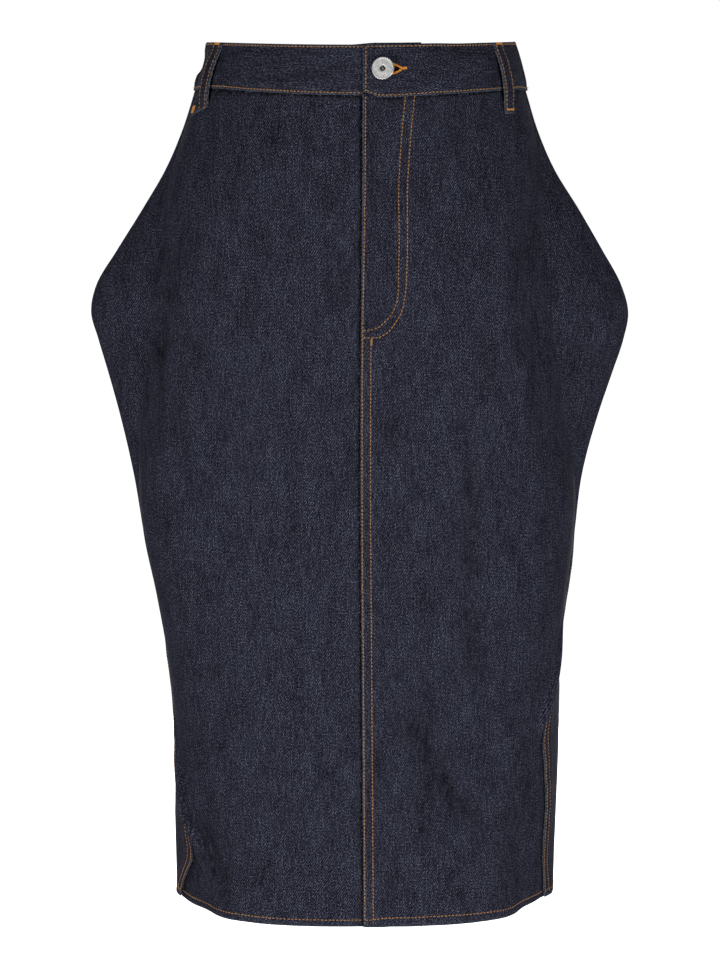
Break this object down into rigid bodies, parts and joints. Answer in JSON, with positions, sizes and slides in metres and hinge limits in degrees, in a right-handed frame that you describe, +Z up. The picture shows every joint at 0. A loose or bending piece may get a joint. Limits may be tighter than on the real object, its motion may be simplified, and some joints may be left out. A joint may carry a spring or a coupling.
{
  "type": "denim skirt",
  "caption": "Below-the-knee denim skirt, filled out as if worn, with winged hips, a lapped fly front, a straight waistband and belt loops.",
  "frame": {"origin": "centre of the waist opening, level with the top edge of the waistband at the sides and the back, where the wearer's waist holds it", "axes": "+Z up, towards the waist; -Y to the front of the skirt; +X to the wearer's left"},
  "size_m": [0.4413, 0.2491, 0.7059],
  "materials": {
    "denim": "raw dark indigo twill",
    "zip_tape": "woven cotton tape",
    "steel": "matt, fine grained",
    "brass": "dull"
  },
  "bodies": {
    "root": {"front_left": "denim", "front_right": "denim", "back_left": "denim", "back_right": "denim", "waistband": "denim", "belt_loop_right": "denim", "belt_loop_left": "denim", "belt_loop_back": "denim", "fly_shield": "denim", "zip": "zip_tape", "zip_slider": "brass", "tack_button": "steel"}
  },
  "joints": []
}
